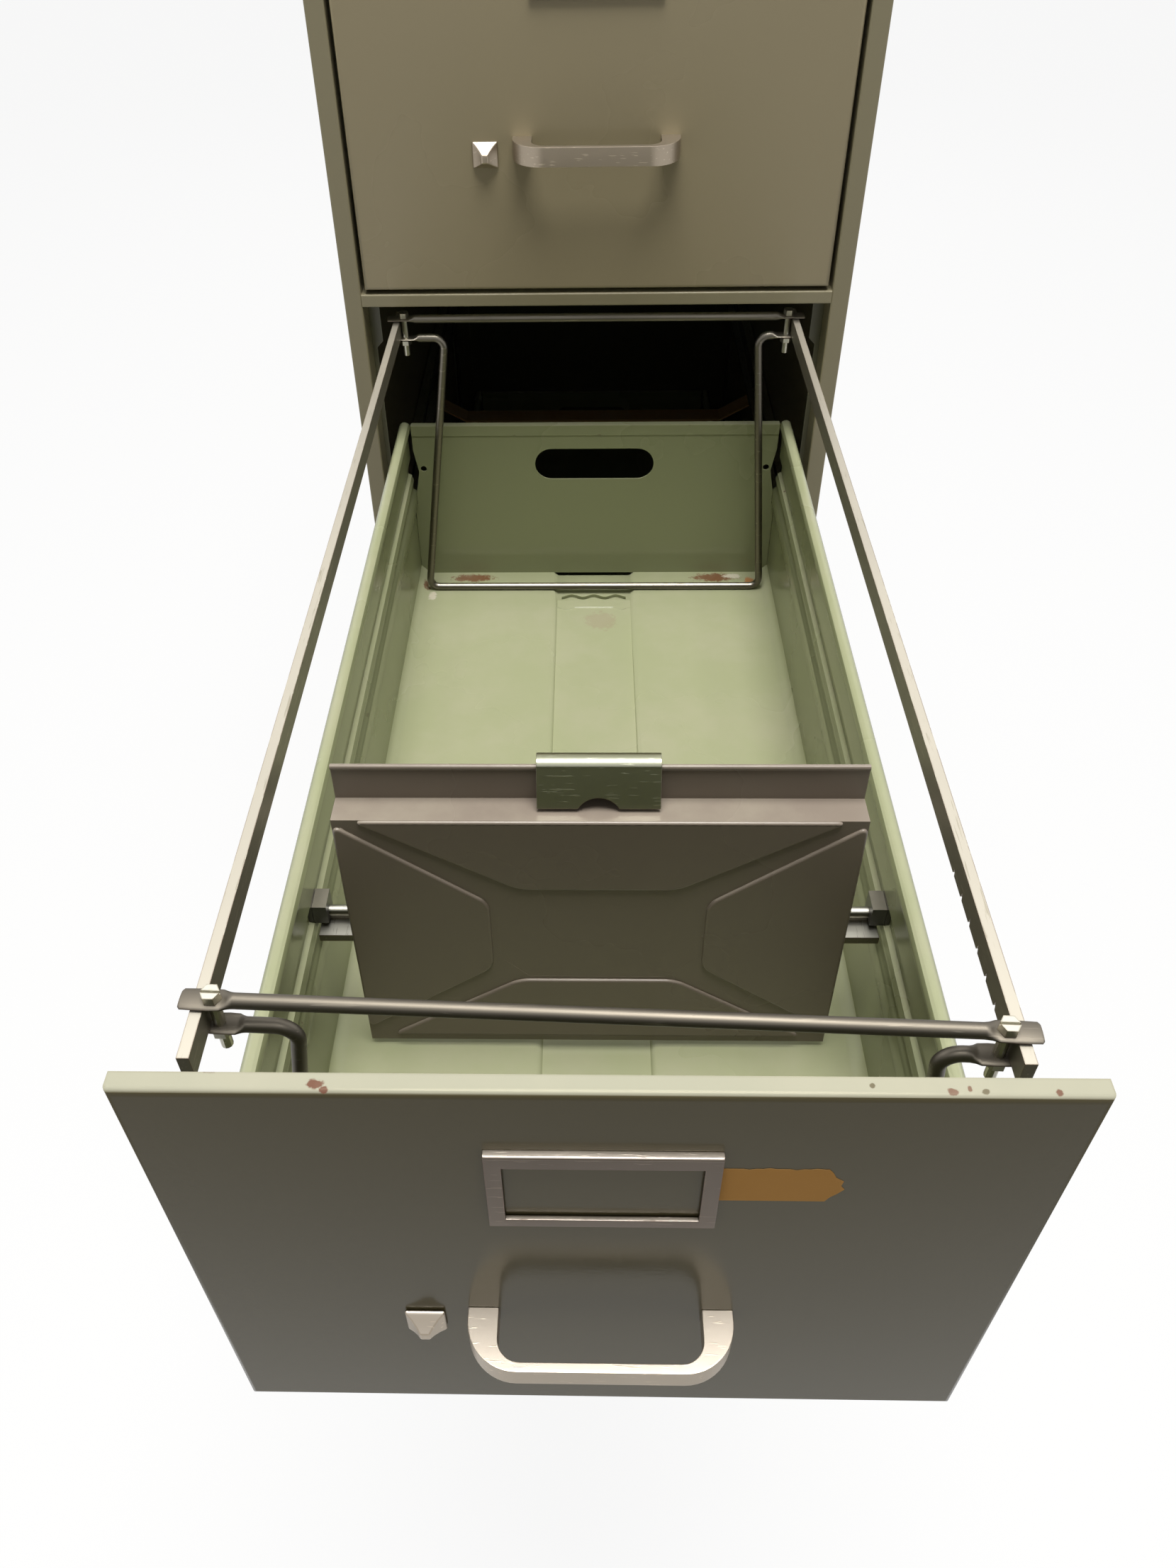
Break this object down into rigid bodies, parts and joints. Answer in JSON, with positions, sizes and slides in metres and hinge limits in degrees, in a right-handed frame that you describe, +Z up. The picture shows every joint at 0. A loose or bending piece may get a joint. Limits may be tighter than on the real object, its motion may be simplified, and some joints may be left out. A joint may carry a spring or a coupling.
{
  "type": "filing cabinet",
  "caption": "Vertical filing cabinet of folded sheet steel with full-extension drawers, pull handles, thumb latches, and one drawer open to show its hanging-file frame and follower.",
  "frame": {"origin": "on the floor at the middle of the case's footprint", "axes": "+X to the right of someone facing the drawers, +Y to the back, +Z up"},
  "size_m": [0.381, 1.424, 1.321],
  "materials": {
    "case_enamel": "semi-gloss enamel",
    "red_primer": "matt primer",
    "slide_steel": "zinc plated",
    "satin_metal": "satin",
    "label_metal": "satin",
    "rod_steel": "scratched grey",
    "follower_enamel": "semi-gloss enamel",
    "zinc_steel": "zinc plated",
    "black_plastic": "moulded"
  },
  "bodies": {
    "cabinet": {"side_panel_right": "case_enamel", "side_panel_left": "case_enamel", "back_panel": "case_enamel", "top_panel": "case_enamel", "bottom_rail": "case_enamel", "kick_plate": "case_enamel", "front_post_right": "case_enamel", "front_post_left": "case_enamel", "rear_posts": "case_enamel", "base_channel": "case_enamel", "cross_braces": "red_primer", "slide_channels_right": "slide_steel", "slide_channels_left": "slide_steel", "divider_rail_1": "case_enamel", "divider_rail_2": "case_enamel", "divider_rail_3": "case_enamel"},
    "drawer_1": {"drawer_1_front": "case_enamel", "drawer_1_tray": "case_enamel", "drawer_1_back": "case_enamel", "drawer_1_handle": "satin_metal", "drawer_1_label_frame": "label_metal", "drawer_1_runners": "slide_steel"},
    "slide_1": {"drawer_1_cradle": "slide_steel"},
    "latch_1": {"drawer_1_latch": "satin_metal"},
    "drawer_2": {"drawer_2_front": "case_enamel", "drawer_2_tray": "case_enamel", "drawer_2_back": "case_enamel", "drawer_2_handle": "satin_metal", "drawer_2_label_frame": "label_metal", "drawer_2_runners": "slide_steel", "hanging_rail_right": "rod_steel", "hanging_rail_left": "rod_steel", "cross_bar_front": "rod_steel", "cross_bar_rear": "rod_steel", "u_frame_front": "rod_steel", "u_frame_rear": "rod_steel", "screws_front": "rod_steel", "screws_rear": "rod_steel"},
    "slide_2": {"drawer_2_cradle": "slide_steel"},
    "latch_2": {"drawer_2_latch": "satin_metal"},
    "drawer_3": {"drawer_3_front": "case_enamel", "drawer_3_tray": "case_enamel", "drawer_3_back": "case_enamel", "drawer_3_handle": "satin_metal", "drawer_3_label_frame": "label_metal", "drawer_3_runners": "slide_steel"},
    "slide_3": {"drawer_3_cradle": "slide_steel"},
    "latch_3": {"drawer_3_latch": "satin_metal"},
    "drawer_4": {"drawer_4_front": "case_enamel", "drawer_4_tray": "case_enamel", "drawer_4_back": "case_enamel", "drawer_4_handle": "satin_metal", "drawer_4_label_frame": "label_metal", "drawer_4_runners": "slide_steel"},
    "slide_4": {"drawer_4_cradle": "slide_steel"},
    "latch_4": {"drawer_4_latch": "satin_metal"},
    "follower_carriage": {"follower_bar": "slide_steel", "follower_shoes": "black_plastic"},
    "follower_plate": {"follower_plate": "follower_enamel"},
    "follower_clip": {"follower_clip": "zinc_steel"}
  },
  "joints": [
    {"name": "drawer_1_travel", "type": "slide", "parent": "cabinet", "child": "drawer_1", "axis": [0, -1, 0], "range_m": [0, 0.673]},
    {"name": "slide_1_travel", "type": "slide", "parent": "cabinet", "child": "slide_1", "axis": [0, -1, 0], "range_m": [0, 0.3365]},
    {"name": "latch_1_thumb", "type": "slide", "parent": "drawer_1", "child": "latch_1", "axis": [1, 0, 0], "range_m": [0, 0.005], "stiffness_N_per_m": 200, "springref_m": -0.002},
    {"name": "drawer_2_travel", "type": "slide", "parent": "cabinet", "child": "drawer_2", "axis": [0, -1, 0], "range_m": [-0.673, 0]},
    {"name": "slide_2_travel", "type": "slide", "parent": "cabinet", "child": "slide_2", "axis": [0, -1, 0], "range_m": [-0.3365, 0]},
    {"name": "latch_2_thumb", "type": "slide", "parent": "drawer_2", "child": "latch_2", "axis": [1, 0, 0], "range_m": [0, 0.005], "stiffness_N_per_m": 200, "springref_m": -0.002},
    {"name": "drawer_3_travel", "type": "slide", "parent": "cabinet", "child": "drawer_3", "axis": [0, -1, 0], "range_m": [0, 0.673]},
    {"name": "slide_3_travel", "type": "slide", "parent": "cabinet", "child": "slide_3", "axis": [0, -1, 0], "range_m": [0, 0.3365]},
    {"name": "latch_3_thumb", "type": "slide", "parent": "drawer_3", "child": "latch_3", "axis": [1, 0, 0], "range_m": [0, 0.005], "stiffness_N_per_m": 200, "springref_m": -0.002},
    {"name": "drawer_4_travel", "type": "slide", "parent": "cabinet", "child": "drawer_4", "axis": [0, -1, 0], "range_m": [0, 0.673]},
    {"name": "slide_4_travel", "type": "slide", "parent": "cabinet", "child": "slide_4", "axis": [0, -1, 0], "range_m": [0, 0.3365]},
    {"name": "latch_4_thumb", "type": "slide", "parent": "drawer_4", "child": "latch_4", "axis": [1, 0, 0], "range_m": [0, 0.005], "stiffness_N_per_m": 200, "springref_m": -0.002},
    {"name": "follower_travel", "type": "slide", "parent": "drawer_2", "child": "follower_carriage", "axis": [0, 1, 0], "range_m": [-0.14, 0.42]},
    {"name": "follower_tilt", "type": "hinge", "parent": "follower_carriage", "child": "follower_plate", "pos_m": [0, -0.82, 0.8215], "axis": [1, 0, 0], "range_deg": [-15, 1.7]},
    {"name": "follower_clip_tip", "type": "hinge", "parent": "follower_plate", "child": "follower_clip", "pos_m": [0, -0.80896, 0.90871], "axis": [1, 0, 0], "range_deg": [0, 6], "stiffness_Nm_per_rad": 0.5, "springref_deg": -5.73}
  ],
  "couplings": [
    {"joint": "slide_1_travel", "follows": "drawer_1_travel", "ratio": 0.5},
    {"joint": "slide_2_travel", "follows": "drawer_2_travel", "ratio": 0.5},
    {"joint": "slide_3_travel", "follows": "drawer_3_travel", "ratio": 0.5},
    {"joint": "slide_4_travel", "follows": "drawer_4_travel", "ratio": 0.5}
  ]
}
